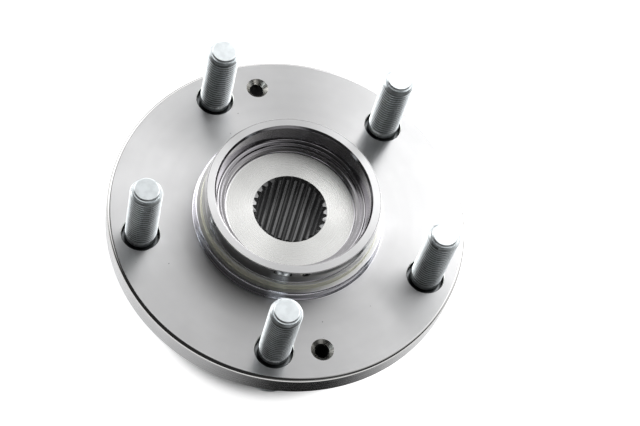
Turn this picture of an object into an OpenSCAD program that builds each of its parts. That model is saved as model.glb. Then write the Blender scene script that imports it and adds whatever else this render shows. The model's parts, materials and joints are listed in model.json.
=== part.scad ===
// Driven wheel hub on its double-row angular-contact ball bearing.
// The origin is on the hub's axis, in the plane of the flange's outer face.
// +Z points out, towards the wheel, and one wheel stud is at +Y.

/* [Flange] */
// Distance from the studs' circle out to the flange's rim
rim_margin = 11.85; // [10:0.05:20]
// Thickness of the flange at its rim
flange_t = 10.4; // [9:0.1:14]
// Rounding of the edge round the flange's outer face
face_round = 1.4; // [0.4:0.1:2]
// Bevel round the flange's back
back_bevel = 0.8; // [0.4:0.1:2]
// Extra thickness of the flange where it meets the boss
root_rise = 2.2; // [1:0.1:3]
// Room between the stud heads and that thicker part
head_room = 2.65; // [2:0.05:4]

/* [Wheel studs] */
// Diameter of the circle that the studs stand on
stud_pcd = 114.3; // [112:0.1:116]
// Outer diameter of the stud's thread
stud_d = 12; // [11:0.5:13]
// Height of the stud's tip over the flange
stud_reach = 33.5; // [26:0.5:60]
// Diameter of the plain point that starts the nut
point_d = 9.8; // [8:0.1:10.4]
// Length of that point
point_len = 1.3; // [1:0.1:4]
// Diameter of the plain neck between thread and knurl
neck_d = 11.8; // [10.8:0.1:12]
// Height of the neck's end over the flange
neck_out = 2.3; // [0.5:0.1:5]
// Diameter of the stud's hole, which is also the knurl's over its crests
stud_hole_d = 14.3; // [14.2:0.1:15]
// Bevel at the hole's edge on the flange's face
stud_hole_bevel = 0.3; // [0.2:0.05:0.8]
// Length of the knurl
knurl_len = 6.2; // [5:0.1:8.5]
// Depth of the knurl's grooves
knurl_depth = 0.35; // [0.2:0.05:0.6]
// Number of crests on the knurl
knurl_n = 36; // [24:1:44]
// Diameter of the stud's head
stud_head_d = 21; // [18:0.5:22]
// Thickness of the stud's head
stud_head_h = 4.6; // [3:0.1:6]

/* [Disc screws] */
// Diameter of the two tapping holes for the disc's screws
screw_hole_d = 5; // [4.2:0.1:6.8]
// Diameter of their countersinks
screw_sink_d = 8.6; // [7.2:0.1:10]

/* [Collar] */
// Diameter of the collar's base, which centres the brake disc
disc_pilot_d = 72.6; // [71:0.1:76]
// Height of that base
disc_pilot_h = 4.4; // [3.6:0.1:5]
// Bevel on the base's edge
disc_pilot_bevel = 0.9; // [0.3:0.1:1.2]
// Diameter of the band between base and groove
band_d = 68; // [67.4:0.1:69.4]
// Height of that band's top
band_h = 7.2; // [6.6:0.1:7.6]
// Diameter of the wheel's pilot
wheel_pilot_d = 67; // [66:0.1:67.2]
// Height of the collar's lip
collar_h = 15.3; // [14:0.1:20]
// Width of the groove under the pilot
groove_w = 1.2; // [0.8:0.1:1.6]
// Depth of that groove
groove_depth = 0.45; // [0.2:0.05:0.8]
// Width of the lead-in bevel at the lip
lip_bevel_w = 0.45; // [0.2:0.05:0.8]
// Height of that bevel
lip_bevel_h = 1.7; // [0.8:0.1:2.2]

/* [Recess] */
// Diameter of the recess at the lip
recess_mouth_d = 60; // [58.6:0.1:61]
// Bevel at the recess's mouth
mouth_bevel = 0.9; // [0.3:0.1:1.2]
// How far the wall closes in on its way down, on the radius
wall_draft = 1.1; // [0:0.1:1.4]
// Height of the upper ledge over the flange's face
ledge_h = 7.5; // [7.2:0.1:8.5]
// Inner diameter of the upper ledge
ledge_d = 53.6; // [53:0.1:54]
// Height of the lower ledge
step_h = 6.5; // [5.8:0.1:6.8]
// Inner diameter of the lower ledge
step_d = 50.6; // [50:0.1:51.4]
// Height of the recess's floor
floor_h = 4; // [3:0.1:5]

/* [Splined bore] */
// Number of teeth in the bore
spline_n = 27; // [24:1:29]
// Module of the teeth
spline_module = 1; // [0.94:0.01:1]
// Bevel at the bore's two mouths
bore_bevel = 0.9; // [0.3:0.1:1.4]

/* [Journal] */
// Diameter of the journal, which is the inner rings' bore
journal_d = 45; // [44:0.1:46]
// How far the boss stands out past the inner ring that it carries
boss_over = 0.7; // [0.3:0.1:1.5]
// Distance from the flange's back to that shoulder
boss_len = 7.6; // [6.6:0.1:12]
// Radius of the fillet between boss and flange
boss_fillet = 2.6; // [1:0.1:3]
// How far the hub's end stops short of the inboard ring's end
end_recess = 1.5; // [0.5:0.1:3]

/* [Bearing] */
// Thickness of the bearing between its bore and its outside
bearing_section = 19.5; // [19:0.1:21]
// Width of each inner ring
inner_w = 20.5; // [20.2:0.1:24]
// Width of the outer ring
outer_w = 39; // [38.6:0.1:40]
// Diameter of a ball
ball_d = 12.7; // [12:0.1:12.9]
// Number of balls in a row
ball_n = 13; // [11:1:13]
// Contact angle of the balls
contact_a = 36; // [30:1:40]
// Distance of a row from the bearing's middle
row_offset = 8; // [7.4:0.1:8.4]
// Radius of the raceways, as a share of the ball's diameter
race_fit = 0.52; // [0.515:0.005:0.53]
// Distance from the balls' circle in to the inner rings' high shoulder
high_shoulder = 2.95; // [2.7:0.05:3.2]
// Distance from the balls' circle in to the inner rings' low shoulder
low_shoulder = 4.75; // [4.2:0.05:5.2]
// Distance from the balls' circle out to the rib between the outer raceways
rib_out = 3.05; // [2.7:0.05:3.7]
// Bevel on the outer ring's corners
outer_bevel = 1.5; // [0.6:0.1:2]
// Bevel at the inner rings' bores
inner_bevel = 1; // [0.4:0.1:1.5]

/* [Cages and seals] */
// Thickness of a cage across its ring
cage_t = 3.8; // [3:0.1:4.2]
// Distance of the cage's claws from the bearing's middle
cage_in = 4.4; // [3.6:0.1:5]
// Distance of the cage's back from the bearing's middle
cage_out = 15.3; // [14.9:0.1:15.6]
// Distance from the balls' circle out to the bore that the seal cases are pressed in
seal_bore_out = 5.05; // [4.8:0.05:5.4]
// Thickness of the seals' steel sheet
sheet_t = 0.6; // [0.4:0.1:0.8]
// Distance of a seal's inner face from the bearing's middle
seal_in = 15.9; // [15.8:0.1:16.2]
// Distance of a slinger's outer face from the bearing's middle
seal_out = 19.2; // [19:0.1:19.3]
// Distance from the balls' circle in to a seal case's inner edge
case_in = 0.55; // [0:0.05:0.9]
// Thickness of the rubber on the case
rubber_t = 0.7; // [0.5:0.1:0.9]
// Half width of the clip's groove in the inner rings
clip_half = 2.6; // [2:0.1:3]
// Depth of that groove
clip_groove = 1; // [0.7:0.1:1.3]
// Thickness of the clip
clip_t = 0.7; // [0.4:0.1:0.7]
// Angle of the clip's gap
clip_gap_a = 24; // [10:1:60]

/* [Fits] */
// Gap between a ball and its raceways at the contact angle
race_gap = 0.05; // [0.03:0.01:0.1]
// Gap between a ball and its cage pocket
pocket_gap = 0.3; // [0.2:0.05:0.4]
// Gap between a seal lip and the slinger
lip_gap = 0.15; // [0.1:0.05:0.3]
// Gap between the slinger's edge and the seal case
slinger_gap = 0.4; // [0.3:0.05:0.6]
// Play of the clip along its groove
clip_play = 0.1; // [0.05:0.05:0.3]

/* [Hidden] */

$fn = 96;
// How far a cutter runs past what it cuts
cut = 1;

// Five studs, the first at +Y. The part is the same on both sides of the plane through the fourth.
stud_n = 5;
first_stud_a = 90;
stud_step_a = 360 / stud_n;
mirror_a = first_stud_a + 2 * stud_step_a - 180;
screw_angles = [mirror_a + 90, mirror_a + 270];

// Flange
flange_d = stud_pcd + 2 * rim_margin;
root_d = stud_pcd - stud_head_d - 2 * head_room;

// Heights along the axis
back_z = -flange_t;
shoulder_z = back_z - boss_len;
middle_z = shoulder_z - inner_w;
inboard_z = middle_z - inner_w;
hub_end_z = inboard_z + end_recess;

// Radii of the collar and its recess
lip_r = wheel_pilot_d / 2 - lip_bevel_w;
wall_top_r = recess_mouth_d / 2 - mouth_bevel * 0.75;
wall_foot_r = wall_top_r - wall_draft;
edge_break = 0.3;
corner_r = 0.7;

// The spline: standard proportions for a 30 degree pressure angle
spline_pitch_r = spline_n * spline_module / 2;
tooth_tip_r = spline_pitch_r - 0.5 * spline_module;
tooth_root_r = spline_pitch_r + 0.75 * spline_module;
tooth_pressure_a = 30;
tooth_base_r = spline_pitch_r * cos(tooth_pressure_a);
flank_steps = 3;

// The bearing's radii, set off from the circle through the balls' centres
ball_pitch_r = (journal_d + bearing_section) / 2;
bearing_r = journal_d / 2 + bearing_section;
high_r = ball_pitch_r - high_shoulder;
low_r = ball_pitch_r - low_shoulder;
rib_r = ball_pitch_r + rib_out;
seal_bore_r = ball_pitch_r + seal_bore_out;
case_in_r = ball_pitch_r - case_in;

// The raceways: centres set off from the balls' centres, so that they touch at the contact angle
ball_r = ball_d / 2;
race_r = race_fit * ball_d;
race_shift = race_r - ball_r - race_gap;
outer_race = [ball_pitch_r - race_shift * cos(contact_a), row_offset + race_shift * sin(contact_a)];
inner_race = [ball_pitch_r + race_shift * cos(contact_a), row_offset - race_shift * sin(contact_a)];

// Clip between the inner rings
clip_seat_r = journal_d / 2 + clip_groove;

// Points along an arc, for a profile
function arc(centre, r, a0, a1, n = 6) =
    [for (i = [0 : n]) centre + r * [cos(a0 + (a1 - a0) * i / n), sin(a0 + (a1 - a0) * i / n)]];

// Half the angle of a spline tooth at radius r, as seen from the axis, with involute flanks
function involute(a) = tan(a) * 180 / PI - a;
function tooth_half_a(r) =
    90 / spline_n - involute(tooth_pressure_a) + involute(acos(tooth_base_r / r));

// Outline of the splined bore: up one flank of each tooth and down the other, the first tooth on
// the mirror plane
function spline_outline() = [
    for (i = [0 : spline_n - 1], flank = [-1, 1], k = [0 : flank_steps])
        let (
            r = tooth_root_r + (tooth_tip_r - tooth_root_r) * (flank < 0 ? k : flank_steps - k) / flank_steps,
            a = mirror_a + i * 360 / spline_n + flank * tooth_half_a(r)
        )
        r * [cos(a), sin(a)]
];

// The hub's outline from the journal's end up to the flange's rim
function hub_back() = let (
    journal_r = journal_d / 2,
    boss_r = high_r + boss_over,
    relief = 0.3,
    root_z = back_z - root_rise
) concat(
    [
        [0, hub_end_z], [journal_r - end_recess, hub_end_z], [journal_r, hub_end_z + end_recess],
        [journal_r, shoulder_z - 2 * inner_bevel], [journal_r - relief, shoulder_z - 2 * inner_bevel + relief],
        [journal_r - relief, shoulder_z], [boss_r - inner_bevel, shoulder_z], [boss_r, shoulder_z + inner_bevel]
    ],
    arc([boss_r + boss_fillet, root_z - boss_fillet], boss_fillet, 180, 90),
    [
        [root_d / 2, back_z], [flange_d / 2 - back_bevel, back_z], [flange_d / 2, back_z + back_bevel]
    ],
    arc([flange_d / 2 - face_round, -face_round], face_round, 0, 90)
);

// The collar's outline from the flange's face up to the lip
function hub_collar() = let (
    base_r = disc_pilot_d / 2,
    band_r = band_d / 2,
    pilot_r = wheel_pilot_d / 2,
    groove_top = band_h + groove_w
) concat(
    arc([base_r + corner_r, corner_r], corner_r, 270, 180),
    [
        [base_r, disc_pilot_h - disc_pilot_bevel], [base_r - disc_pilot_bevel, disc_pilot_h],
        [band_r + edge_break, disc_pilot_h], [band_r, disc_pilot_h + edge_break],
        [band_r, band_h - edge_break], [band_r - edge_break, band_h],
        [pilot_r - groove_depth, band_h], [pilot_r - groove_depth, groove_top - groove_depth],
        [pilot_r, groove_top], [pilot_r, collar_h - lip_bevel_h], [lip_r, collar_h]
    ]
);

// The recess's outline from the lip down to the floor
function hub_recess() = concat(
    [[recess_mouth_d / 2, collar_h], [wall_top_r, collar_h - mouth_bevel]],
    arc([wall_foot_r - corner_r, ledge_h + corner_r], corner_r, 0, -90, 4),
    [[ledge_d / 2, ledge_h], [ledge_d / 2 - edge_break, step_h], [step_d / 2, step_h]],
    arc([step_d / 2 - edge_break - corner_r, floor_h + corner_r], corner_r, 0, -90, 4),
    [[0, floor_h]]
);

module at_stud(i) {
    rotate(first_stud_a + (i - 1) * stud_step_a)
        translate([stud_pcd / 2, 0, 0])
            children();
}

module screw_holes() {
    sink_depth = (screw_sink_d - screw_hole_d) / 2;
    for (a = screw_angles)
        rotate(a)
            translate([stud_pcd / 2, 0, 0]) {
                translate([0, 0, back_z - cut])
                    cylinder(d = screw_hole_d, h = flange_t + 2 * cut);
                translate([0, 0, -sink_depth])
                    cylinder(d1 = screw_hole_d, d2 = screw_sink_d + 2 * cut, h = sink_depth + cut);
            }
}

module splined_bore() {
    mouth_r = tooth_root_r + 0.1;
    translate([0, 0, hub_end_z - cut])
        linear_extrude(height = floor_h - hub_end_z + 2 * cut)
            polygon(spline_outline());
    translate([0, 0, floor_h - bore_bevel])
        cylinder(r1 = tooth_tip_r - 0.1, r2 = mouth_r, h = bore_bevel);
    translate([0, 0, hub_end_z])
        cylinder(r1 = mouth_r + bore_bevel, r2 = tooth_tip_r - 0.1, h = 2 * bore_bevel);
}

module hub() color([0.72, 0.72, 0.73]) {
    difference() {
        rotate_extrude()
            polygon(concat(hub_back(), hub_collar(), hub_recess()));
        splined_bore();
        screw_holes();
        for (i = [1 : stud_n])
            at_stud(i) {
                translate([0, 0, back_z - cut])
                    cylinder(d = stud_hole_d, h = flange_t + 2 * cut);
                translate([0, 0, -stud_hole_bevel])
                    cylinder(d1 = stud_hole_d, d2 = stud_hole_d + 2 * (stud_hole_bevel + cut), h = stud_hole_bevel + cut);
            }
    }
}

module knurl() {
    crest_r = stud_hole_d / 2;
    linear_extrude(height = knurl_len)
        polygon([
            for (i = [0 : 2 * knurl_n - 1])
                let (a = i * 180 / knurl_n, r = i % 2 == 0 ? crest_r : crest_r - knurl_depth)
                    r * [cos(a), sin(a)]
        ]);
}

module stud(i) color([0.74, 0.77, 0.79]) {
    head_z = back_z - stud_head_h;
    neck_z = back_z + knurl_len;
    thread_end = stud_reach - point_len;
    lead = (stud_d - point_d) / 2;
    round_r = 0.6;
    at_stud(i) {
        rotate_extrude()
            polygon(concat(
                [
                    [0, head_z], [stud_head_d / 2 - edge_break, head_z], [stud_head_d / 2, head_z + edge_break],
                    [stud_head_d / 2, back_z - 2 * edge_break], [stud_head_d / 2 - 2 * edge_break, back_z],
                    [neck_d / 2, back_z], [neck_d / 2, neck_out], [stud_d / 2, neck_out + (stud_d - neck_d) / 2],
                    [stud_d / 2, thread_end - lead], [point_d / 2, thread_end]
                ],
                arc([point_d / 2 - round_r, stud_reach - round_r], round_r, 0, 90, 4),
                [[0, stud_reach]]
            ));
        translate([0, 0, back_z])
            knurl();
    }
}

// A bearing piece, revolved from a profile whose second value is the distance from the middle
// plane. The outboard copy has side 1, the inboard one is its mirror image.
module bearing_side(side) {
    translate([0, 0, middle_z])
        mirror([0, 0, side > 0 ? 0 : 1])
            children();
}

module race(centre) {
    translate(centre)
        circle(r = race_r);
}

module bearing_outer_ring() color([0.60, 0.61, 0.63]) {
    r = bearing_r;
    h = outer_w / 2;
    translate([0, 0, middle_z])
        rotate_extrude()
            difference() {
                polygon([
                    [rib_r, -h], [r - outer_bevel, -h], [r, -h + outer_bevel],
                    [r, h - outer_bevel], [r - outer_bevel, h], [rib_r, h]
                ]);
                for (s = [-1, 1])
                    mirror([0, s > 0 ? 0 : 1, 0]) {
                        race(outer_race);
                        translate([0, row_offset])
                            square([seal_bore_r, h - row_offset + cut]);
                    }
            }
}

module inner_ring(side) color([0.66, 0.67, 0.69]) {
    bore_r = journal_d / 2;
    bearing_side(side)
        rotate_extrude()
            difference() {
                polygon([
                    [clip_seat_r, 0], [low_r, 0], [low_r, row_offset], [high_r, row_offset],
                    [high_r, inner_w - edge_break], [high_r - edge_break, inner_w],
                    [bore_r + inner_bevel, inner_w], [bore_r, inner_w - inner_bevel],
                    [bore_r, clip_half], [clip_seat_r, clip_half]
                ]);
                race(inner_race);
            }
}

module inner_ring_clip() color([0.55, 0.56, 0.58]) {
    h = 2 * (clip_half - clip_play);
    translate([0, 0, middle_z - h / 2])
        rotate(mirror_a + clip_gap_a / 2)
            rotate_extrude(angle = 360 - clip_gap_a)
                translate([clip_seat_r - clip_t, 0])
                    square([clip_t, h]);
}

module at_balls() {
    for (i = [0 : ball_n - 1])
        rotate(mirror_a + i * 360 / ball_n)
            translate([ball_pitch_r, 0, row_offset])
                children();
}

module balls(side) color([0.82, 0.83, 0.85]) {
    bearing_side(side)
        at_balls()
            sphere(r = ball_r);
}

module cage(side) color([0.58, 0.47, 0.30]) {
    bearing_side(side)
        difference() {
            rotate_extrude()
                translate([ball_pitch_r - cage_t / 2, cage_in])
                    square([cage_t, cage_out - cage_in]);
            at_balls()
                sphere(r = ball_r + pocket_gap);
        }
}

module seal_case(side) color([0.50, 0.51, 0.53]) {
    r = seal_bore_r;
    bearing_side(side)
        rotate_extrude()
            polygon([
                [case_in_r, seal_in], [r, seal_in], [r, seal_out], [r - sheet_t, seal_out],
                [r - sheet_t, seal_in + sheet_t], [case_in_r, seal_in + sheet_t]
            ]);
}

module seal_lip(side) color([0.10, 0.10, 0.11]) {
    sleeve_r = high_r + sheet_t;
    wall_r = seal_bore_r - sheet_t;
    case_top = seal_in + sheet_t;
    flange_under = seal_out - sheet_t;
    lip_w = 0.5;
    bearing_side(side)
        rotate_extrude()
            polygon([
                [case_in_r, seal_in], [case_in_r, case_top], [wall_r, case_top],
                [wall_r, case_top + rubber_t], [wall_r - 1.6, case_top + rubber_t],
                [wall_r - 0.6, flange_under - lip_gap], [wall_r - 0.6 - lip_w, flange_under - lip_gap],
                [wall_r - 2.8, case_top + rubber_t], [sleeve_r + 1.1, case_top + rubber_t],
                [sleeve_r + lip_gap + lip_w, case_top + rubber_t + 0.5], [sleeve_r + lip_gap, case_top + rubber_t],
                [sleeve_r + lip_gap + lip_w, case_top], [sleeve_r + lip_gap + lip_w, seal_in]
            ]);
}

module slinger(side) color([0.64, 0.65, 0.67]) {
    seat_r = high_r;
    rim_r = seal_bore_r - sheet_t - slinger_gap;
    bearing_side(side)
        rotate_extrude()
            polygon([
                [seat_r, seal_in + sheet_t], [seat_r + sheet_t, seal_in + sheet_t],
                [seat_r + sheet_t, seal_out - sheet_t], [rim_r, seal_out - sheet_t],
                [rim_r, seal_out], [seat_r, seal_out]
            ]);
}

hub();
stud(1);  // stud_1
stud(2);  // stud_2
stud(3);  // stud_3
stud(4);  // stud_4
stud(5);  // stud_5
bearing_outer_ring();
inner_ring(1);  // inner_ring_outboard
inner_ring(-1);  // inner_ring_inboard
inner_ring_clip();
balls(1);  // balls_outboard
balls(-1);  // balls_inboard
cage(1);  // cage_outboard
cage(-1);  // cage_inboard
seal_case(1);  // seal_case_outboard
seal_case(-1);  // seal_case_inboard
seal_lip(1);  // seal_lip_outboard
seal_lip(-1);  // seal_lip_inboard
slinger(1);  // slinger_outboard
slinger(-1);  // slinger_inboard
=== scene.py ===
"""Driven wheel hub with its studs and bearing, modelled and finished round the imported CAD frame."""

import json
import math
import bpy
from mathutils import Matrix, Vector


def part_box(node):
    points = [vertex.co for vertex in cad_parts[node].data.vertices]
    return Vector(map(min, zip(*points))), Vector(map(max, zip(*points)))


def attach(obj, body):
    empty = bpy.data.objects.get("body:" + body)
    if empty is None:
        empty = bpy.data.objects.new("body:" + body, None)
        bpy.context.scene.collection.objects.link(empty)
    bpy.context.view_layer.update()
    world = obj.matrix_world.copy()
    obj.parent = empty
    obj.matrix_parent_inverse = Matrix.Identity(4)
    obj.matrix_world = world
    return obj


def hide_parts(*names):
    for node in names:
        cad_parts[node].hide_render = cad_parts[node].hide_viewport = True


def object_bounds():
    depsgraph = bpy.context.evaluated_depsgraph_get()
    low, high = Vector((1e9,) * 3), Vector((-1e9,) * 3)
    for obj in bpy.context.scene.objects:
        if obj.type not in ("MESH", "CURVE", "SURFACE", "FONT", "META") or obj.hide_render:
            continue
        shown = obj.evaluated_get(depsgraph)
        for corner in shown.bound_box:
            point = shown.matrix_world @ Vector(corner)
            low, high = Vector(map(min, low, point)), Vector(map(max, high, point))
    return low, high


bl_info = {
    "name": "Wheel Hub",
    "version": (1, 0, 0),
    "blender": (4, 5, 0),
    "location": "View3D > Sidebar > Wheel Hub",
    "description": "Builds a driven wheel hub, its studs, its bearing and the studio round them",
    "category": "Add Mesh",
}

import bpy
from bpy.props import FloatProperty, FloatVectorProperty, IntProperty, PointerProperty
from mathutils import Euler, Matrix, Vector

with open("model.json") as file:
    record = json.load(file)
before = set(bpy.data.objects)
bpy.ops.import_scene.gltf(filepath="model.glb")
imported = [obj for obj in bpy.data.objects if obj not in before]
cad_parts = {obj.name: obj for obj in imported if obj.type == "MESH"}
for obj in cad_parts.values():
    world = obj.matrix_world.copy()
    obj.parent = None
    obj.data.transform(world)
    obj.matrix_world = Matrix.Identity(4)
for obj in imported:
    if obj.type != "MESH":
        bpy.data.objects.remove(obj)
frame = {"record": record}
CAD_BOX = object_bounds()

MM = 0.001
MOUNTS = {mount["name"]: mount for mount in frame["record"]["mounts"]}
HUB_LOW, HUB_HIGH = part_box("hub")
STUD_LOW, STUD_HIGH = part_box("stud_1")
RING_LOW, RING_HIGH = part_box("bearing_outer_ring")
PART_LOW = CAD_BOX[0]

STUDS = 5
SCREW_HOLES = 2
FIRST_STUD_A = math.radians(90)
STUD_STEP_A = math.radians(72)
MIRROR_A = math.radians(54)  # the plane through the axis that mirrors the part
FIRST_SCREW_A = MIRROR_A + math.pi / 2

# Facets: steps round the axis, and the turn of one step on a rounded corner
LATHE_STEPS = 240
STUD_STEPS = 96
HOLE_STEPS = 96
BORE_STEPS = 216
CLIP_STEPS = 120
ARC_STEP = math.radians(18)

# Edges that turn by less than this are shaded smooth. On the hub the bore's bevelled mouth stays sharp.
SMOOTH_A = math.radians(32)
HUB_SMOOTH_A = math.radians(28)

# Depth below a thread's crest that keeps the plain zinc; on the studs the flanks below it get a painted shade
CREST_DEPTH = 0.25 * MM

# A profile's corner that is nearly straight isn't rounded, and a rounding takes at most this share of a side
STRAIGHT_A = math.radians(88)
CORNER_SHARE = 0.45


def mount_size(mount, size):
    """A size of one of the record's mounts, in metres."""
    return MOUNTS[mount]["dims"][size] * MM


# Properties


def length(name, default, description):
    return FloatProperty(name=name, description=description, default=default, unit="LENGTH", subtype="DISTANCE")


def colour(name, default, description):
    return FloatVectorProperty(
        name=name, description=description, default=default, size=3, min=0.0, max=1.0, subtype="COLOR"
    )


class HubSizes(bpy.types.PropertyGroup):
    """Sizes of the hub: flange, collar, recess and bore"""

    flange_radius: length("Flange radius", HUB_HIGH.x, "Radius of the flange")
    flange_thickness: length("Flange thickness", 10.4 * MM, "Thickness of the flange at its rim")
    face_round: length("Face rounding", 1.4 * MM, "Rounding of the edge round the flange's outer face")
    disc_pilot_radius: length("Disc pilot radius", mount_size("disc_pilot", "r_mm"), "Radius of the collar's base")
    disc_pilot_height: length("Disc pilot height", 4.4 * MM, "Height of the collar's base")
    pilot_radius: length("Wheel pilot radius", mount_size("wheel_pilot", "r_mm"), "Radius of the wheel's pilot")
    collar_height: length("Collar height", HUB_HIGH.z, "Height of the collar's lip over the flange")
    mouth_radius: length("Recess mouth radius", 30 * MM, "Radius of the recess at the lip")
    floor_height: length("Recess floor", 4 * MM, "Height of the recess's floor over the flange")
    journal_radius: length("Journal radius", 22.5 * MM, "Radius of the journal that carries the inner rings")
    journal_end: length("Journal end", HUB_LOW.z, "Where the journal ends along the axis")
    shoulder: length("Bearing shoulder", -18 * MM, "Where the inner rings stand against the boss")
    spline_teeth: IntProperty(name="Spline teeth", description="Number of teeth in the bore", default=27, min=3)
    spline_module: length("Spline module", 1 * MM, "Module of the teeth")
    screw_hole_radius: length(
        "Screw hole radius", mount_size("disc_screw_holes", "hole_r_mm"), "Tapping radius of the disc's screws"
    )


class StudSizes(bpy.types.PropertyGroup):
    """Sizes of the wheel studs"""

    circle_radius: length(
        "Stud circle radius", mount_size("wheel_studs", "pcd_mm") / 2, "Radius of the circle of studs"
    )
    thread_radius: length("Thread radius", mount_size("wheel_studs", "stud_r_mm"), "Outer radius of the thread")
    pitch: length("Thread pitch", 1.5 * MM, "Rise of the thread in one turn")
    reach: length("Reach", STUD_HIGH.z, "Height of the tip over the flange")
    hole_radius: length("Hole radius", 7.15 * MM, "Radius of the stud's hole and of its knurl")
    knurl_length: length("Knurl length", 6.2 * MM, "Length of the knurl, from the flange's back")
    head_end: length("Head end", STUD_LOW.z, "Where the head ends along the axis")


class BearingSizes(bpy.types.PropertyGroup):
    """Sizes of the wheel bearing"""

    middle: length("Middle", (RING_LOW.z + RING_HIGH.z) / 2, "Middle plane of the bearing")
    outer_radius: length("Outer radius", RING_HIGH.x, "Radius of the outer ring")
    outer_half: length("Half width", (RING_HIGH.z - RING_LOW.z) / 2, "Half the width of the outer ring")
    inner_width: length("Inner ring width", 20.5 * MM, "Width of one inner ring")
    ball_radius: length("Ball radius", 6.35 * MM, "Radius of a ball")
    ball_circle: length("Ball circle radius", 32.25 * MM, "Radius of the circle through the balls' centres")
    row_offset: length("Row offset", 8 * MM, "Distance of each row of balls from the middle")
    balls: IntProperty(name="Balls", description="Number of balls in a row", default=13, min=3)


class Colours(bpy.types.PropertyGroup):
    """Colours of the finishes"""

    steel: colour("Hub steel", (0.70, 0.70, 0.705), "Turned steel of the hub")
    zinc: colour("Zinc", (0.88, 0.93, 0.95), "Zinc plate on the studs")
    bearing: colour("Bearing steel", (0.64, 0.65, 0.67), "Ground steel of the bearing rings")
    ball: colour("Balls", (0.80, 0.81, 0.83), "Polished steel of the balls")
    cage: colour("Cage", (0.46, 0.34, 0.18), "Moulded polyamide of the cages")
    rubber: colour("Rubber", (0.025, 0.025, 0.028), "Rubber of the seals")
    sheet: colour("Sheet steel", (0.56, 0.57, 0.59), "Pressed sheet steel of seals, slingers and clip")
    floor: colour("Floor", (0.80, 0.80, 0.80), "Floor of the studio")


# Modelling helpers


def select_only(*pieces):
    bpy.ops.object.select_all(action="DESELECT")
    for piece in pieces:
        piece.select_set(True)
    bpy.context.view_layer.objects.active = pieces[0]


def named(name):
    """The object that was just added, at the origin with its place in its mesh."""
    piece = bpy.context.object
    piece.name = piece.data.name = name
    bpy.ops.object.transform_apply(location=True, rotation=True, scale=True)
    return piece


def deselected():
    bpy.ops.object.select_all(action="DESELECT")


def outward(piece):
    """Merges a piece's doubles and turns its faces outwards."""
    select_only(piece)
    bpy.ops.object.mode_set(mode="EDIT")
    bpy.ops.mesh.select_all(action="SELECT")
    bpy.ops.mesh.remove_doubles(threshold=0.002 * MM)
    bpy.ops.mesh.normals_make_consistent(inside=False)
    bpy.ops.object.mode_set(mode="OBJECT")


def rounded(points, closed=False, edge=0.15):
    """A profile in millimetres as points in metres, each corner rounded by edge or by its third value."""
    path = []
    count = len(points)
    for i, point in enumerate(points):
        corner = Vector(point[:2])
        radius = point[2] if len(point) > 2 else edge
        before = Vector(points[i - 1][:2]) - corner
        after = Vector(points[(i + 1) % count][:2]) - corner
        half = before.angle(after) / 2
        if radius == 0 or half > STRAIGHT_A or (not closed and i in (0, count - 1)):
            path.append(corner * MM)
            continue
        reach = min(radius / math.tan(half), CORNER_SHARE * before.length, CORNER_SHARE * after.length)
        centre = corner + (before.normalized() + after.normalized()).normalized() * reach / math.cos(half)
        start = corner + before.normalized() * reach - centre
        end = corner + after.normalized() * reach - centre
        turn = math.atan2(start.x * end.y - start.y * end.x, start.dot(end))
        steps = max(1, math.ceil(abs(turn) / ARC_STEP))
        for k in range(steps + 1):
            path.append((centre + Matrix.Rotation(turn * k / steps, 2) @ start) * MM)
    return path


def profile_line(name, path, closed=False):
    """An edge line in the XZ plane, extruded vertex by vertex along the path."""
    deselected()
    bpy.ops.mesh.primitive_plane_add(size=MM, location=(path[0].x, 0, path[0].y))
    piece = named(name)
    bpy.ops.object.mode_set(mode="EDIT")
    bpy.ops.mesh.select_all(action="SELECT")
    bpy.ops.mesh.merge(type="CENTER")
    for a, b in zip(path, path[1:] + path[:1] if closed else path[1:]):
        bpy.ops.mesh.extrude_region_move(TRANSFORM_OT_translate={"value": (b.x - a.x, 0, b.y - a.y)})
    bpy.ops.object.mode_set(mode="OBJECT")
    return piece


def lathe(name, path, closed=False, steps=LATHE_STEPS):
    """A turned piece: the profile spun once round the axis."""
    piece = profile_line(name, path, closed)
    bpy.ops.object.mode_set(mode="EDIT")
    bpy.ops.mesh.select_all(action="SELECT")
    bpy.ops.mesh.spin(steps=steps, angle=2 * math.pi, center=(0, 0, 0), axis=(0, 0, 1))
    bpy.ops.object.mode_set(mode="OBJECT")
    outward(piece)
    return piece


def cylinder(name, radius, low, high, top_radius=None, vertices=HOLE_STEPS):
    """A closed cylinder or cone on the axis, between two heights."""
    deselected()
    bpy.ops.mesh.primitive_cone_add(
        vertices=vertices,
        radius1=radius,
        radius2=radius if top_radius is None else top_radius,
        depth=high - low,
        location=(0, 0, (low + high) / 2),
    )
    return named(name)


def placed(piece, angle=0.0, radius=0.0, own_turn=0.0):
    """Moves a piece's mesh from the axis out to a radius, at an angle round the axis."""
    piece.data.transform(
        Matrix.Rotation(angle, 4, "Z") @ Matrix.Translation((radius, 0, 0)) @ Matrix.Rotation(own_turn, 4, "Z")
    )
    return piece


def copied(piece, name):
    select_only(piece)
    bpy.ops.object.duplicate(linked=False)
    made = bpy.context.object
    made.name = made.data.name = name
    return made


def joined(pieces, name):
    select_only(*pieces)
    bpy.ops.object.join()
    piece = bpy.context.object
    piece.name = piece.data.name = name
    return piece


def ring_of(piece, count, first, radius=0.0):
    """Copies of a piece all round the axis, joined into one object."""
    name = piece.name
    copies = [placed(copied(piece, f"{name}_{i}"), first + i * 2 * math.pi / count, radius) for i in range(count)]
    bpy.data.objects.remove(piece)
    return joined(copies, name)


def boolean(piece, tool, operation="DIFFERENCE"):
    """Cuts, joins or intersects a piece with a tool, which is used up."""
    select_only(piece)
    modifier = piece.modifiers.new("Boolean", "BOOLEAN")
    modifier.object = tool
    modifier.operation = operation
    modifier.solver = "EXACT"
    bpy.ops.object.modifier_apply(modifier=modifier.name)
    bpy.data.objects.remove(tool)
    return piece


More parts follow.
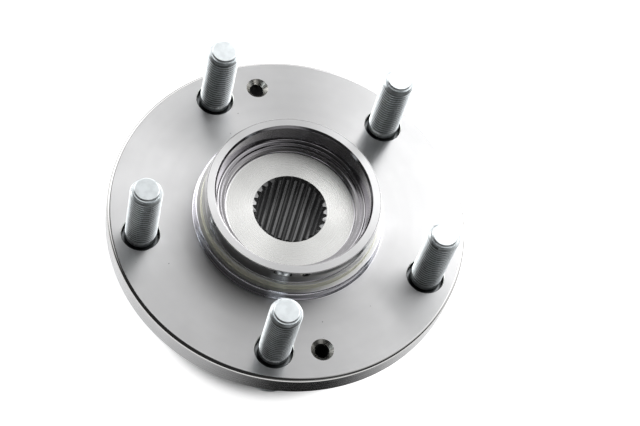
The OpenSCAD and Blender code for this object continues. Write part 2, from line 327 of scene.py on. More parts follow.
def smoothed(piece, angle=SMOOTH_A):
    """Smooth shading that keeps flat faces flat."""
    select_only(piece)
    bpy.ops.object.shade_smooth_by_angle(angle=angle)
    modifier = piece.modifiers.new("Normals", "WEIGHTED_NORMAL")
    modifier.keep_sharp = True
    bpy.ops.object.modifier_apply(modifier=modifier.name)
    return piece


def threaded_rod(name, crest, root, pitch, low, high, steps=48):
    """A closed rod with a helical thread between two heights: one turn's profile, screwed up the axis.

    The heights in the profile are shares of the pitch, and each flank has one more ring just below the crest.
    """
    start = low - 1.5 * pitch
    foot, top = 0.12, 0.43
    middle = crest - CREST_DEPTH
    rise = (top - foot) * (crest - middle) / (crest - root)
    profile = [(root, 0), (root, foot), (middle, top - rise), (crest, top)]
    profile += [(crest, 1 - top), (middle, 1 - top + rise), (root, 1 - foot), (root, 1)]
    piece = profile_line(name, [Vector((r, start + z * pitch)) for r, z in profile])
    modifier = piece.modifiers.new("Thread", "SCREW")
    modifier.screw_offset = pitch
    modifier.iterations = math.ceil((high - low) / pitch) + 3
    modifier.steps = modifier.render_steps = steps
    bpy.ops.object.modifier_apply(modifier=modifier.name)
    outward(piece)
    bpy.ops.object.mode_set(mode="EDIT")
    for height, below in ((low, True), (high, False)):
        bpy.ops.mesh.select_all(action="SELECT")
        bpy.ops.mesh.bisect(
            plane_co=(0, 0, height),
            plane_no=(0, 0, 1),
            use_fill=True,
            clear_inner=below,
            clear_outer=not below,
            threshold=0.0001 * MM,
        )
    bpy.ops.object.mode_set(mode="OBJECT")
    outward(piece)
    return piece


def paint(piece, finishes, choose=None):
    """Gives a piece its finishes; choose picks the index of one for a face by its radius, height and normal."""
    piece.data.materials.clear()
    for finish in finishes:
        piece.data.materials.append(finish)
    if choose:
        for face in piece.data.polygons:
            centre = face.center
            face.material_index = choose(math.hypot(centre.x, centre.y) / MM, centre.z / MM, face.normal)


def fitted(piece, body, slot, *nodes):
    """Puts a finished piece on its body, in place of its CAD nodes."""
    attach(piece, body)
    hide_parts(*nodes)
    return piece


# Shader helpers


class Socket:
    """A node's output. Sums on it add Math nodes."""

    def __init__(self, nodes, output):
        self.nodes, self.output = nodes, output

    def math(self, operation, *values):
        return self.nodes.node("ShaderNodeMath", {"operation": operation}, dict(enumerate(values)))

    def __add__(self, other):
        return self.math("ADD", self, other)

    def __sub__(self, other):
        return self.math("SUBTRACT", self, other)

    def __rsub__(self, other):
        return self.math("SUBTRACT", other, self)

    def __mul__(self, other):
        return self.math("MULTIPLY", self, other)

    __radd__ = __add__
    __rmul__ = __mul__


class Nodes:
    """A node tree that is filled by one method."""

    def __init__(self, tree):
        self.tree = tree

    def node(self, kind, settings=None, values=None, out=0):
        made = self.tree.nodes.new(kind)
        for key, value in (settings or {}).items():
            setattr(made, key, value)
        for key, value in (values or {}).items():
            self.feed(made, key, value)
        return Socket(self, made.outputs[out]) if made.outputs else None

    def feed(self, made, key, value):
        if isinstance(value, Socket):
            self.tree.links.new(value.output, made.inputs[key])
        else:
            made.inputs[key].default_value = value

    def between(self, value, low, high, to_low=0.0, to_high=1.0):
        """A smooth step of a value between two limits."""
        return self.node(
            "ShaderNodeMapRange",
            {"interpolation_type": "SMOOTHSTEP"},
            {"Value": value, "From Min": low, "From Max": high, "To Min": to_low, "To Max": to_high},
        )

    def mixed(self, factor, a, b):
        """A colour between a and b."""
        return self.node("ShaderNodeMix", {"data_type": "RGBA"}, {0: factor, 6: a, 7: b}, out=2)


class Finish(Nodes):
    """A material with one Principled shader."""

    def __init__(self, name, roughness, metallic=1.0, anisotropic=0.0, turn=0.0):
        self.material = bpy.data.materials.new(name)
        self.material.use_nodes = True
        super().__init__(self.material.node_tree)
        self.shader = self.tree.nodes["Principled BSDF"]
        fixed = {"Roughness": roughness, "Metallic": metallic, "Anisotropic": anisotropic, "Anisotropic Rotation": turn}
        for key, value in fixed.items():
            self.set(key, value)
        self.place = self.node("ShaderNodeTexCoord", out="Object")

    def set(self, key, value):
        self.feed(self.shader, key, value)

    def noise(self, scale, detail=2.0, rough=0.5, along=None):
        """Noise over the piece, or along one value, with so many features to a metre."""
        settings = {"noise_dimensions": "1D" if along else "3D"}
        return self.node(
            "ShaderNodeTexNoise",
            settings,
            {"W" if along else "Vector": along or self.place, "Scale": scale, "Detail": detail, "Roughness": rough},
        )

    def specks(self, scale, size, share):
        """Small dots, on a share of the cells."""
        cells = {"Vector": self.place, "Scale": scale}
        distance = self.node("ShaderNodeTexVoronoi", None, cells)
        tint = self.node("ShaderNodeTexVoronoi", None, cells, out="Color")
        pick = self.node("ShaderNodeSeparateColor", None, {0: tint})
        return self.between(distance, size, size * 0.5) * self.between(pick, 1 - share, 1 - share + 0.02)

    def radius(self):
        """Distance from the hub's axis."""
        flat = self.node("ShaderNodeVectorMath", {"operation": "MULTIPLY"}, {0: self.place, 1: (1, 1, 0)})
        return self.node("ShaderNodeVectorMath", {"operation": "LENGTH"}, {0: flat}, out="Value")

    def height(self):
        """Height along the hub's axis."""
        return self.node("ShaderNodeSeparateXYZ", None, {0: self.place}, out="Z")

    def bump(self, height, distance, strength=1.0):
        values = {"Strength": strength, "Distance": distance, "Height": height}
        self.set("Normal", self.node("ShaderNodeBump", None, values))


OIL_WARM = (1.02, 1.0, 0.88)
OIL_COOL = (0.96, 0.94, 1.02)


def grey(value):
    return (value, value, value, 1)


def tinted(base, factor):
    """A colour times a number, or times one number for each channel."""
    factors = factor if isinstance(factor, tuple) else (factor,) * 3
    return tuple(min(1.0, c * f) for c, f in zip(base, factors)) + (1,)


def turned_finish(name, base, roughness, along, grooves=2600, depth=0.0015 * MM, anisotropic=0.0, stain=0.06):
    """Turned steel: fine grooves that run round the axis, faint cloudy stains and a few dark specks."""
    finish = Finish(name, roughness, anisotropic=anisotropic, turn=0.25)
    line = finish.radius() if along == "radius" else finish.height()
    if along == "both":
        line = finish.radius() + finish.height()
    marks = finish.noise(grooves, 3, 0.6, along=line)
    bands = finish.noise(grooves / 9, 1, 0.5, along=line)
    cloud = finish.noise(38, 3, 0.55)
    speck = finish.specks(230, 0.07, 0.10)
    shade = finish.mixed(finish.between(cloud, 0.35, 0.65), tinted(base, 1 - stain), tinted(base, 1 + stain / 2))
    shade = finish.mixed(bands * 0.12, shade, tinted(base, 0.72))
    finish.set("Base Color", finish.mixed(speck * 0.55, shade, grey(0.08)))
    finish.set("Roughness", roughness + marks * 0.08 - 0.04 + cloud * 0.06 - 0.03 + speck * 0.3)
    finish.bump(marks + bands * 0.8, depth)
    return finish.material


def polished_finish(name, base, roughness, along="height", film=0.0, metallic=1.0):
    """Ground steel: fine marks one above the other, or one round the other, and bands tinted by a film of oil."""
    finish = Finish(name, roughness, metallic=metallic)
    line = finish.height() if along == "height" else finish.radius()
    marks = finish.noise(3400, 2, 0.5, along=line)
    cloud = finish.noise(60, 2, 0.5)
    shade = finish.mixed(finish.between(cloud, 0.3, 0.7), tinted(base, 0.94), tinted(base, 1.03))
    bands = finish.between(finish.noise(420, 1, 0.5, along=line), 0.4, 0.6)
    oil = finish.mixed(bands, tinted(base, OIL_WARM), tinted(base, OIL_COOL))
    finish.set("Base Color", finish.mixed(0.6 * film, shade, oil))
    finish.set("Roughness", roughness + marks * 0.05 - 0.02)
    finish.bump(marks, 0.0003 * MM)
    return finish.material


def zinc_finish(name, base, metallic=0.88):
    """Bright zinc plate: bluish, with a fine uneven sheen."""
    finish = Finish(name, 0.3, metallic=metallic)
    cloud = finish.noise(300, 2, 0.5)
    fine = finish.noise(2200, 2, 0.6)
    finish.set("Base Color", finish.mixed(finish.between(cloud, 0.35, 0.65), tinted(base, 0.94), tinted(base, 1.05)))
    finish.set("Roughness", cloud * 0.08 + fine * 0.05 + 0.24)
    return finish.material


def moulded_finish(name, base, roughness):
    finish = Finish(name, roughness, metallic=0.0)
    fine = finish.noise(1800, 2, 0.5)
    cloud = finish.noise(120, 2, 0.5)
    finish.set("Base Color", finish.mixed(cloud, tinted(base, 0.85), tinted(base, 1.15)))
    finish.set("Roughness", roughness + fine * 0.15 - 0.07)
    finish.bump(fine, 0.01 * MM)
    return finish.material


def finishes(colours):
    steel = tuple(colours.steel)
    bearing = tuple(colours.bearing)
    sheet = tuple(colours.sheet)
    return {
        "face": turned_finish("turned_face", steel, 0.31, "radius", anisotropic=0.85),
        "rim": turned_finish("turned_rim", steel, 0.26, "height", grooves=1800),
        # Outer part of the lip's top: steel darkened to a thin dark line, a painted reflection
        "edge": polished_finish("edge_painted_reflection", tinted(steel, 0.4), 0.25, "radius"),
        "collar": polished_finish("polished_collar", tinted(steel, 0.9), 0.08, film=0.3),
        # Collar's band and base: lighter, tinted copies of the collar's steel, the band half diffuse, as a painted
        # sheen
        "band": polished_finish("cream_band_painted_sheen", (0.96, 0.95, 0.79), 0.24, metallic=0.4),
        "base": polished_finish("lilac_base_painted_sheen", (0.84, 0.83, 0.89), 0.13),
        # Recess wall: steel darkened, a painted shade in the recess
        "wall": polished_finish("polished_recess_painted_shade", (0.44, 0.43, 0.45), 0.12, film=0.2),
        # Recess floor: lighter than the hub's steel, a painted lift of its highlights
        "floor": turned_finish(
            "recess_floor", (0.80, 0.80, 0.785), 0.27, "radius",
            grooves=2200, depth=0.0004 * MM, anisotropic=0.9, stain=0.08,
        ),
        # Bore: tooth flanks and roots darkened as a painted shade, so that the tips in plain steel read as light lines
        "spline": turned_finish("broached_spline_painted_shade", tinted(steel, 0.42), 0.16, "radius", grooves=900),
        "tips": polished_finish("tooth_tips", steel, 0.22, "radius"),
        "sink": polished_finish("countersink", (0.72, 0.71, 0.67), 0.26, "radius"),
        "back": turned_finish("turned_back", tinted(steel, 0.9), 0.36, "both", grooves=1400),
        "journal": polished_finish("ground_journal", steel, 0.2),
        # Hole walls: steel darkened almost to black, a painted shade inside the stud and tapped holes
        "hole": turned_finish("hole_painted_shade", tinted(steel, 0.025), 0.5, "height", grooves=900),
        "zinc": zinc_finish("zinc_plate", tuple(colours.zinc)),
        # Zinc darkened to 0.4: painted shade for the studs' thread grooves and for the shank inside the hole
        "zinc_painted_shade": zinc_finish("zinc_painted_shade", tinted(colours.zinc, 0.4), metallic=1.0),
        "bearing": polished_finish("ground_bearing_steel", bearing, 0.22),
        "bearing_end": polished_finish("ground_bearing_face", bearing, 0.26, "radius"),
        "ball": polished_finish("polished_ball", tuple(colours.ball), 0.05),
        "cage": moulded_finish("moulded_polyamide", tuple(colours.cage), 0.5),
        "rubber": moulded_finish("seal_rubber", tuple(colours.rubber), 0.6),
        "sheet": turned_finish("pressed_sheet", sheet, 0.34, "radius", grooves=700, depth=0.003 * MM),
    }  # fmt: skip


# Hub


def hub_profile(sizes):
    """The hub's outline from the journal's end round the flange and collar to the recess's floor, in millimetres."""
    flange = sizes.flange_radius / MM
    back = -sizes.flange_thickness / MM
    turn = sizes.face_round / MM
    base = sizes.disc_pilot_radius / MM
    base_top = sizes.disc_pilot_height / MM
    pilot = sizes.pilot_radius / MM
    lip = sizes.collar_height / MM
    mouth = sizes.mouth_radius / MM
    floor = sizes.floor_height / MM
    journal = sizes.journal_radius / MM
    end = sizes.journal_end / MM
    shoulder = sizes.shoulder / MM
    boss, band, groove = 30, 34, 7.2
    ledge, step = 7.5, 6.5
    return [
        # Journal, with a relief at the bearing's shoulder
        (0, end), (journal - 1.5, end), (journal, end + 1.5),
        (journal, shoulder - 2), (journal - 0.3, shoulder - 1.7), (journal - 0.3, shoulder),
        # Boss and flange
        (boss - 1, shoulder), (boss, shoulder + 1), (boss, back - 2.2, 2.6), (44, back, 6),
        (flange - 0.8, back), (flange, back + 0.8), (flange, 0, turn),
        # Collar: base, band, groove and pilot
        (base, 0, 0.7), (base, base_top, 1.5), (band, base_top, 0.3), (band, groove, 0.2),
        (pilot - 0.45, groove), (pilot - 0.45, groove + 0.75), (pilot, groove + 1.2),
        (pilot, lip - 1.7, 0.3), (pilot - 0.45, lip, 0.2), (pilot - 0.75, lip),
        # Recess with its ledges
        (mouth, lip, 0.2), (mouth - 0.675, lip - 0.9, 0.2), (mouth - 1.775, ledge, 0.7),
        (26.8, ledge), (26.5, step), (25.3, step), (25, floor, 0.7), (0, floor),
    ]  # fmt: skip


def involute(angle):
    return math.tan(angle) - angle


def tooth_radii(sizes):
    """Radii of the bore through the teeth's tips and of their roots."""
    middle = sizes.spline_teeth / 2
    return (middle - 0.5) * sizes.spline_module, (middle + 0.75) * sizes.spline_module


def spline_cutter(sizes):
    """One prism for each gap between two teeth, with involute sides and a rounded root."""
    teeth = sizes.spline_teeth
    module = sizes.spline_module
    pressure = math.radians(30)
    pitch_radius = teeth * module / 2

    def half_gap(radius):
        flank = math.acos(pitch_radius * math.cos(pressure) / radius)
        tooth = math.pi / (2 * teeth) - involute(pressure) + involute(flank)
        return radius * math.sin(math.pi / teeth - tooth)

    tip, root = tooth_radii(sizes)
    rows = [(tip - 0.4 * module, half_gap(tip - 0.4 * module))]
    rows += [(r, half_gap(r)) for r in (tip, tip + 0.4 * module, tip + 0.8 * module, root - 0.2 * module)]
    rows += [(root - 0.06 * module, 0.85 * half_gap(root - 0.06 * module)), (root, 0.5 * half_gap(root))]
    low = sizes.journal_end - MM
    high = sizes.floor_height + MM
    middle = (low + high) / 2
    deselected()
    bpy.ops.mesh.primitive_plane_add(size=1, location=(rows[0][0], 0, middle), rotation=(0, math.pi / 2, 0))
    gap = bpy.context.object
    gap.scale = (high - low, 2 * rows[0][1], 1)
    gap = named("spline_gap")
    bpy.ops.object.mode_set(mode="EDIT")
    bpy.ops.mesh.select_all(action="SELECT")
    for (r0, w0), (r1, w1) in zip(rows, rows[1:]):
        bpy.ops.mesh.extrude_region_move(TRANSFORM_OT_translate={"value": (r1 - r0, 0, 0)})
        bpy.ops.transform.resize(value=(1, w1 / w0, 1), center_override=(r1, 0, middle))
    bpy.ops.object.mode_set(mode="OBJECT")
    outward(gap)
    return ring_of(gap, teeth, MIRROR_A + math.pi / teeth)


HUB_FINISHES = (
    "face", "rim", "edge", "collar", "band", "base", "wall", "floor", "spline", "tips",
    "back", "journal", "sink", "hole",
)  # fmt: skip


def hub_zone(sizes):
    """The finish of each of the hub's faces, by place and direction, in millimetres."""
    rim = (sizes.flange_radius - sizes.face_round) / MM
    foot = sizes.disc_pilot_radius / MM + 0.7
    base_top = sizes.disc_pilot_height / MM
    lip = sizes.collar_height / MM
    lip_edge = sizes.pilot_radius / MM - 0.75
    back = -sizes.flange_thickness / MM
    floor = sizes.floor_height / MM
    shoulder = sizes.shoulder / MM
    tip, root = (radius / MM for radius in tooth_radii(sizes))
    mouth, groove, sunk = 31, 7.25, -1.25  # outside the recess, above the band, within the countersinks
    tight, loose = 0.02, 0.05  # how far off a level a face still counts as on it

    def zone(radius, height, normal):
        if radius > rim:
            return "collar" if normal.z > 0.1 else "rim"
        if radius > foot:
            if height > -tight:
                return "face"
            if height < back + loose:
                return "back"
            return "sink" if height > sunk and abs(normal.z) > 0.3 else "hole"
        if height > -tight and radius > mouth:
            if normal.z > 0.95:
                return "edge" if height > lip - 1 and radius > lip_edge else "face"
            if height > groove:
                return "collar"
            return "band" if height > base_top - tight else "base"
        if radius < root + 1.2 and (abs(normal.z) < 0.98 or height < floor - loose):
            return "tips" if radius < tip + tight and abs(normal.z) < 0.1 else "spline"
        if height > floor - loose:
            if height > lip - tight:
                return "edge" if radius > lip_edge else "face"
            return "floor" if height < floor + loose else "wall"
        return "journal" if height < shoulder else "back"

    return zone


class WHEELHUB_OT_hub(bpy.types.Operator):
    """Turns the hub, broaches its bore and drills its flange"""

    bl_idname = "wheelhub.hub"
    bl_label = "Hub"

    def execute(self, context):
        sizes = context.scene.wheel_hub
        studs = context.scene.wheel_hub_studs
        circle = studs.circle_radius
        back = -sizes.flange_thickness
        floor = sizes.floor_height
        end = sizes.journal_end
        tip, root = tooth_radii(sizes)
        past = MM  # how far a cutter reaches past a face
        hub = lathe("hub_forging", rounded(hub_profile(sizes)))

        boolean(hub, cylinder("bore", tip, end - past, floor + past, vertices=BORE_STEPS))
        boolean(hub, spline_cutter(sizes))
        bevel, lead = 0.9 * MM, 0.2 * MM
        mouth = cylinder("mouth", tip - lead, floor - bevel, floor + lead, root + 0.35 * MM, BORE_STEPS)
        boolean(hub, mouth)
        mouth = cylinder("inner_mouth", root + 1.2 * MM, end - lead, end + 2 * bevel, tip - 0.3 * MM, BORE_STEPS)
        boolean(hub, mouth)

        holes = cylinder("stud_hole", studs.hole_radius, back - past, past)
        boolean(hub, ring_of(holes, STUDS, FIRST_STUD_A, circle))
        edge = 0.3 * MM
        bevels = cylinder("hole_bevel", studs.hole_radius - edge, -2 * edge, edge, studs.hole_radius + 2 * edge)
        boolean(hub, ring_of(bevels, STUDS, FIRST_STUD_A, circle))

        hole = sizes.screw_hole_radius
        depth, pitch = 0.5 * MM, MM
        tapped = threaded_rod("tapped", hole + depth, hole, pitch, back - past / 2, past / 2)
        boolean(hub, ring_of(tapped, SCREW_HOLES, FIRST_SCREW_A, circle))
        sink = 1.8 * MM
        sinks = cylinder("countersink", hole, -sink, past, hole + sink + past)
        boolean(hub, ring_of(sinks, SCREW_HOLES, FIRST_SCREW_A, circle))

        smoothed(hub, HUB_SMOOTH_A)
        made = finishes_of(context)
        zone = hub_zone(sizes)
        paint(hub, [made[name] for name in HUB_FINISHES], lambda r, z, n: HUB_FINISHES.index(zone(r, z, n)))
        fitted(hub, "rotating_hub", "hub_steel", "hub")
        return {"FINISHED"}


# Studs


class WHEELHUB_OT_studs(bpy.types.Operator):
    """Makes one threaded wheel stud and presses five of them into the flange"""

    bl_idname = "wheelhub.studs"
    bl_label = "Wheel studs"

    def execute(self, context):
        sizes = context.scene.wheel_hub_studs
        back = -context.scene.wheel_hub.flange_thickness
        reach = sizes.reach / MM
        head = sizes.head_end / MM
        face = back / MM
        crest = sizes.thread_radius / MM
        wide, shank, core, nose = 10.5, 5.9, 4.2, 4.9  # radii of head, shank, core and point
        neck = 2.3
        point = reach - 1.3
        outline = rounded([
            (0, head), (wide, head, 0.5), (wide, face, 0.5), (shank, face, 0.3), (shank, -0.3), (shank, neck),
            (5.2, neck + 0.7), (core, neck + 2), (core, point - 1),
            (nose, point - 0.3, 0.1), (nose, reach - 0.45, 0.25), (nose - 0.5, reach, 0.3), (0, reach),
        ])  # fmt: skip
        stud = lathe("stud", outline, steps=STUD_STEPS)

        root = sizes.thread_radius - 0.86 * MM
        thread = threaded_rod("thread", sizes.thread_radius, root, sizes.pitch, 2 * MM, (point - 0.2) * MM)
        over = crest + 0.1
        envelope = rounded([
            (0, neck - 1), (5.5, neck - 1), (over, neck + 0.3), (over, point - 1.1), (nose - 0.05, point), (0, point),
        ])  # fmt: skip
        boolean(thread, lathe("envelope", envelope, steps=STUD_STEPS), "INTERSECT")
        boolean(stud, thread, "UNION")

        teeth = 36
        half_step = 180 / teeth
        knurl = cylinder("knurl", sizes.hole_radius, back, back + sizes.knurl_length, vertices=2 * teeth)
        for corner in knurl.data.vertices:
            if round(math.degrees(math.atan2(corner.co.y, corner.co.x)) / half_step) % 2:
                corner.co.xy *= (sizes.hole_radius - 0.35 * MM) / sizes.hole_radius
        boolean(stud, knurl, "UNION")
        smoothed(stud)

        # Painted shade: the zinc is darkened on the thread's flanks below this radius and on the shank inside the
        # flange's hole
        groove = crest - CREST_DEPTH / MM - 0.01

        def in_painted_shade(radius, height, normal):
            return face < height < 0 if height < neck else radius < groove and height < point - 1

        made = finishes_of(context)
        paint(stud, [made["zinc"], made["zinc_painted_shade"]], in_painted_shade)
        for i in range(STUDS):
            piece = copied(stud, f"wheel_stud_{i + 1}")
            placed(piece, FIRST_STUD_A + i * STUD_STEP_A, sizes.circle_radius, math.radians(140 * i))
            fitted(piece, "rotating_hub", "stud_zinc", f"stud_{i + 1}")
        bpy.data.objects.remove(stud)
        return {"FINISHED"}


# Bearing


# Distances from the circle through the balls' centres, in millimetres: the outer ring's rib between its raceways
# and its seat for the seal, and the inner ring's rib beside the middle and its seat for the slinger
RIB, SEAL_SEAT = 3.05, 5.05
LOW_RIB, HIGH_RIB = 4.75, 2.95


def beside(sizes, side, profile):
    """A profile given by its distance from the bearing's middle, on one side of it."""
    middle = sizes.middle / MM
    return [(point[0], middle + side * point[1], *point[2:]) for point in profile]


def arc(centre, radius, start, end, steps=14):
    """Points on an arc of a raceway, none of them rounded."""
    angles = [start + (end - start) * k / steps for k in range(steps + 1)]
    return [(centre[0] + radius * math.cos(a), centre[1] + radius * math.sin(a), 0) for a in angles]


class WHEELHUB_OT_rings(bpy.types.Operator):
    """Grinds the outer ring and the two inner rings, and bends the clip that holds these together"""

    bl_idname = "wheelhub.rings"
    bl_label = "Bearing rings"

    def execute(self, context):
        sizes = context.scene.wheel_hub_bearing
        made = finishes_of(context)
        outer = sizes.outer_radius / MM
        half = sizes.outer_half / MM
        ball = sizes.ball_radius / MM
        circle = sizes.ball_circle / MM
        row = sizes.row_offset / MM
        bore = context.scene.wheel_hub.journal_radius / MM
        width = sizes.inner_width / MM
        race = 1.04 * ball
        shift = race - ball - 0.05
        contact = math.radians(36)
        lean = Vector((shift * math.cos(contact), shift * math.sin(contact)))

        centre = (circle - lean.x, row + lean.y)
        rib, seal = circle + RIB, circle + SEAL_SEAT
        start, end = -math.acos((rib - centre[0]) / race), math.acos((seal - centre[0]) / race)
        upper = [*arc(centre, race, start, end), (seal, half, 0.3), (outer - 1.5, half), (outer, half - 1.5, 0.3)]
        lower = [(point[0], -point[1], *point[2:]) for point in reversed(upper)]
        ring = lathe("outer_race", rounded(beside(sizes, 1, upper + lower), closed=True), closed=True)
        smoothed(ring)
        paint(ring, [made["bearing"], made["bearing_end"]], lambda r, z, n: int(abs(n.z) > 0.9))
        fitted(ring, "bearing_housing", "bearing_steel", "bearing_outer_ring")

        centre = (circle + lean.x, row - lean.y)
        low, high = circle - LOW_RIB, circle - HIGH_RIB
        start, end = math.pi + math.acos((centre[0] - low) / race), math.pi - math.acos((centre[0] - high) / race)
        groove = 2.6
        profile = [
            (bore + 1, 0), (low, 0), *arc(centre, race, start, end), (high, width, 0.3),
            (bore + 1, width), (bore, width - 1, 0.3), (bore, groove), (bore + 1, groove),
        ]  # fmt: skip
        for side, word in ((1, "outboard"), (-1, "inboard")):
            ring = lathe(f"inner_race_{word}", rounded(beside(sizes, side, profile), closed=True), closed=True)
            smoothed(ring)
            paint(ring, [made["bearing"], made["bearing_end"]], lambda r, z, n: int(abs(n.z) > 0.9))
            fitted(ring, "rotating_hub", "bearing_steel", f"inner_ring_{word}")

        inside, half = bore + 0.3, 2.5
        strip = [(inside, -half, 0.1), (inside, half, 0.1), (bore + 1, half, 0.1), (bore + 1, -half, 0.1)]
        clip = lathe("spring_clip", rounded(beside(sizes, 1, strip), closed=True), closed=True, steps=CLIP_STEPS)
        deselected()
        bpy.ops.mesh.primitive_cube_add(size=1, location=(bore * MM, 0, sizes.middle), scale=(8 * MM, 9.4 * MM, 8 * MM))
        boolean(clip, placed(named("clip_gap"), MIRROR_A))
        smoothed(clip)
        paint(clip, [made["sheet"]])
        fitted(clip, "rotating_hub", "sheet_steel", "inner_ring_clip")
        return {"FINISHED"}


class WHEELHUB_OT_balls(bpy.types.Operator):
    """Fills the two rows of balls and their cages"""

    bl_idname = "wheelhub.balls"
    bl_label = "Balls and cages"

    def execute(self, context):
        sizes = context.scene.wheel_hub_bearing
        made = finishes_of(context)
        circle = sizes.ball_circle
        radius = sizes.ball_radius
        inner, outer = circle / MM - 1.9, circle / MM + 1.9
        near, far = 4.4, 15.3
        ring = [(inner, near), (inner, far, 0.4), (outer, far, 0.4), (outer, near)]
        for side, word in ((1, "outboard"), (-1, "inboard")):
            height = sizes.middle + side * sizes.row_offset
            deselected()
            bpy.ops.mesh.primitive_ico_sphere_add(subdivisions=4, radius=radius, location=(0, 0, height))
            balls = ring_of(named(f"ball_set_{word}"), sizes.balls, MIRROR_A, circle)
            deselected()
            bpy.ops.mesh.primitive_ico_sphere_add(subdivisions=4, radius=radius + 0.3 * MM, location=(0, 0, height))
            pockets = ring_of(named("pocket"), sizes.balls, MIRROR_A, circle)
            cage = lathe(f"ball_cage_{word}", rounded(beside(sizes, side, ring), closed=True), closed=True)
            boolean(cage, pockets)
            smoothed(balls)
            smoothed(cage)
            paint(balls, [made["ball"]])
            paint(cage, [made["cage"]])
            fitted(balls, f"ball_row_{word}", "ball_steel", f"balls_{word}")
            fitted(cage, f"ball_row_{word}", "cage_polyamide", f"cage_{word}")
        return {"FINISHED"}


class WHEELHUB_OT_seals(bpy.types.Operator):
    """Presses the seal cases with their rubber lips and the slingers"""

    bl_idname = "wheelhub.seals"
    bl_label = "Seals"

    def execute(self, context):
        sizes = context.scene.wheel_hub_bearing
        made = finishes_of(context)
        circle = sizes.ball_circle / MM
        sheet, inner, outer = 0.6, 15.9, 19.2
        seat = circle - HIGH_RIB
        bore = circle + SEAL_SEAT
        edge = circle - 0.55
        wall = bore - sheet
        top = inner + sheet
        under = outer - sheet
        sleeve = seat + sheet
        case = [
            (edge, inner, 0.1), (bore, inner, 0.4), (bore, outer, 0.1), (wall, outer, 0.1), (wall, top, 0.3),
            (edge, top, 0.1),
        ]  # fmt: skip
        lip = [
            (edge, inner, 0), (edge, top, 0), (wall, top, 0), (wall, top + 0.7, 0.1), (wall - 1.6, top + 0.7, 0.2),
            (wall - 0.6, under - 0.15, 0.1), (wall - 1.1, under - 0.15, 0.1), (wall - 2.8, top + 0.7, 0.2),
            (sleeve + 1.1, top + 0.7, 0.2), (sleeve + 0.65, top + 1.2, 0.1), (sleeve + 0.15, top + 0.7, 0.1),
            (sleeve + 0.65, top, 0.1), (sleeve + 0.65, inner, 0.1),
        ]  # fmt: skip
        rim = wall - 0.4
        flinger = [
            (seat, top, 0.05), (sleeve, top, 0.1), (sleeve, under, 0.3), (rim, under, 0.1), (rim, outer, 0.15),
            (seat, outer, 0.5),
        ]  # fmt: skip
        for side, word in ((1, "outboard"), (-1, "inboard")):
            pieces = (
                ("seal_shell", case, "sheet", "bearing_housing", "sheet_steel", "seal_case"),
                ("seal_rubber", lip, "rubber", "bearing_housing", "seal_rubber", "seal_lip"),
                ("flinger", flinger, "sheet", "rotating_hub", "sheet_steel", "slinger"),
            )
            for name, profile, finish, body, slot, node in pieces:
                piece = lathe(f"{name}_{word}", rounded(beside(sizes, side, profile), closed=True), closed=True)
                smoothed(piece)
                paint(piece, [made[finish]])
                fitted(piece, body, slot, f"{node}_{word}")
        return {"FINISHED"}


# Studio

# The camera that was fitted to the photograph: metres, degrees and millimetres
CAMERA_PLACE = (0.14407, -0.28730, 0.56302)
CAMERA_TURN = (28.758, -9.170, 40.818)
CAMERA_LENS = 95.644

# Soft patches of light round the studio: azimuth and elevation in degrees, brightness
SOFTBOXES = (
    (60, 8, 0.5), (90, 8, 0.6), (120, 8, 0.95), (180, 8, 0.95), (330, 8, 0.35),
    (60, 32, 0.85), (90, 32, 3.4), (120, 32, 0.3), (150, 32, 1.45), (180, 32, 1.45), (45, 56, 0.55), (90, 56, 0.8),
)  # fmt: skip


def direction_glow(world, direction, azimuth, elevation, inner=3, outer=30):
    """A soft-edged round patch of the surroundings: 1 within inner degrees of its middle, 0 past outer."""
    a, e = math.radians(azimuth), math.radians(elevation)
    axis = (math.cos(e) * math.cos(a), math.cos(e) * math.sin(a), math.sin(e))
    facing = world.node("ShaderNodeVectorMath", {"operation": "DOT_PRODUCT"}, {0: direction, 1: axis}, out="Value")
    return world.between(facing, math.cos(math.radians(outer)), math.cos(math.radians(inner)))


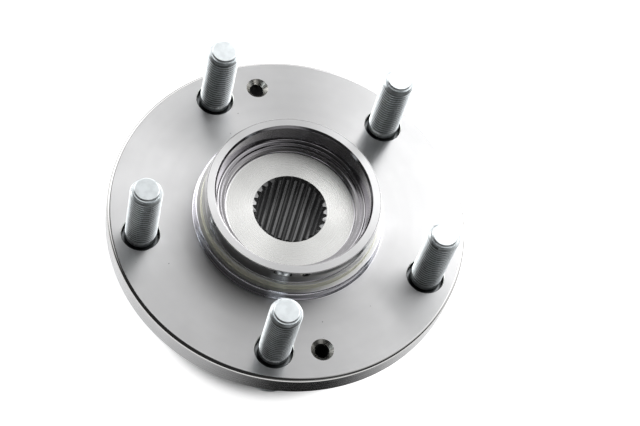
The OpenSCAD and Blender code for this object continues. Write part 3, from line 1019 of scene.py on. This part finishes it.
class WHEELHUB_OT_stage(bpy.types.Operator):
    """Lays the floor, lights the studio and sets the camera"""

    bl_idname = "wheelhub.stage"
    bl_label = "Studio"

    def execute(self, context):
        scene = context.scene
        scene.view_settings.view_transform = "Standard"

        deselected()
        bpy.ops.mesh.primitive_plane_add(size=8, location=(0, 0, PART_LOW.z))
        floor = named("studio_floor")
        surface = bpy.data.materials.new("floor_paper")
        surface.use_nodes = True
        nodes = Nodes(surface.node_tree)
        surface.node_tree.nodes.clear()
        seen = nodes.node("ShaderNodeLightPath", out="Is Camera Ray")
        mirrored = nodes.node("ShaderNodeLightPath", out="Is Glossy Ray")
        mirrored = mirrored + nodes.node("ShaderNodeLightPath", out="Is Transmission Ray")
        place = nodes.node("ShaderNodeTexCoord", out="Object")

        def distance(x, y):
            ends = {0: place, 1: (x, y, PART_LOW.z)}
            return nodes.node("ShaderNodeVectorMath", {"operation": "DISTANCE"}, ends, out="Value")

        # The paper glows, apart from what the camera would see under the part, where the glow fades to a painted
        # contact shadow over the paper's own shadow, and what its steel mirrors near it, where a painted dark patch, a
        # painted shade under the bore and a faint painted dimming off the front edge stay unlit
        under = nodes.between(distance(0, 0), 0.046, 0.054)
        dim = nodes.between(distance(0.078, -0.062), 0.015, 0.11)
        bore = nodes.between(distance(0, 0), 0.014, 0.03, 0.4, 1.0)
        grazed = nodes.between(distance(-0.005, -0.095), 0.0, 0.07, 0.86, 1.0)
        shown = seen * under * 0.86 + mirrored * dim * grazed * bore * 0.52
        white = (*scene.wheel_hub_colours.floor, 1)
        # In the dark patch the paper turns almost black for mirrored rays: a painted dark reflection in the steel
        shade = nodes.mixed(mirrored * (1 - dim), white, grey(0.03))
        paper = nodes.node("ShaderNodeBsdfDiffuse", None, {"Color": shade})
        glow = nodes.node("ShaderNodeEmission", None, {"Color": grey(1.0), "Strength": shown})
        both = nodes.node("ShaderNodeAddShader", None, {0: paper, 1: glow})
        nodes.node("ShaderNodeOutputMaterial", None, {"Surface": both})
        floor.data.materials.append(surface)

        scene.world = bpy.data.worlds.new("studio")
        scene.world.use_nodes = True
        scene.world.node_tree.nodes.clear()
        world = Nodes(scene.world.node_tree)
        direction = world.node("ShaderNodeTexCoord", out="Generated")
        seen = world.node("ShaderNodeLightPath", out="Is Camera Ray")
        level = sum(direction_glow(world, direction, *place) * glow for *place, glow in SOFTBOXES) + 0.03
        level = level * (1 - seen) + seen
        glow = world.node("ShaderNodeBackground", None, {"Color": grey(1.0), "Strength": level})
        world.node("ShaderNodeOutputWorld", None, {"Surface": glow})

        bpy.ops.object.camera_add(location=CAMERA_PLACE)
        camera = context.object
        camera.rotation_euler = Euler([math.radians(a) for a in CAMERA_TURN], "XYZ")
        camera.data.sensor_width = 36
        camera.data.lens = CAMERA_LENS
        camera.data.clip_start = 0.01
        scene.camera = camera
        return {"FINISHED"}


# Panel and registration


class WHEELHUB_PT_panel(bpy.types.Panel):
    """Steps that build the wheel hub"""

    bl_idname = "WHEELHUB_PT_panel"
    bl_label = "Wheel Hub"
    bl_space_type = "VIEW_3D"
    bl_region_type = "UI"
    bl_category = "Wheel Hub"

    def draw(self, context):
        for step in STEPS:
            self.layout.operator(step.bl_idname)
        for group in PROPERTIES:
            self.layout.separator()
            settings = getattr(context.scene, group)
            for name in settings.bl_rna.properties.keys():
                if name not in ("rna_type", "name"):
                    self.layout.prop(settings, name)


STEPS = (
    WHEELHUB_OT_hub,
    WHEELHUB_OT_studs,
    WHEELHUB_OT_rings,
    WHEELHUB_OT_balls,
    WHEELHUB_OT_seals,
    WHEELHUB_OT_stage,
)
PROPERTIES = {
    "wheel_hub": HubSizes,
    "wheel_hub_studs": StudSizes,
    "wheel_hub_bearing": BearingSizes,
    "wheel_hub_colours": Colours,
}
CLASSES = (*PROPERTIES.values(), *STEPS, WHEELHUB_PT_panel)
MADE_FINISHES = {}


def finishes_of(context):
    """The finishes, made once."""
    if not MADE_FINISHES:
        MADE_FINISHES.update(finishes(context.scene.wheel_hub_colours))
    return MADE_FINISHES


def register():
    for cls in CLASSES:
        bpy.utils.register_class(cls)
    for name, group in PROPERTIES.items():
        setattr(bpy.types.Scene, name, PointerProperty(type=group))


def unregister():
    for name in PROPERTIES:
        delattr(bpy.types.Scene, name)
    for cls in reversed(CLASSES):
        bpy.utils.unregister_class(cls)


def main():
    register()
    bpy.ops.wheelhub.hub()
    bpy.ops.wheelhub.studs()
    bpy.ops.wheelhub.rings()
    bpy.ops.wheelhub.balls()
    bpy.ops.wheelhub.seals()
    bpy.ops.wheelhub.stage()


if __name__ == "__main__":
    main()
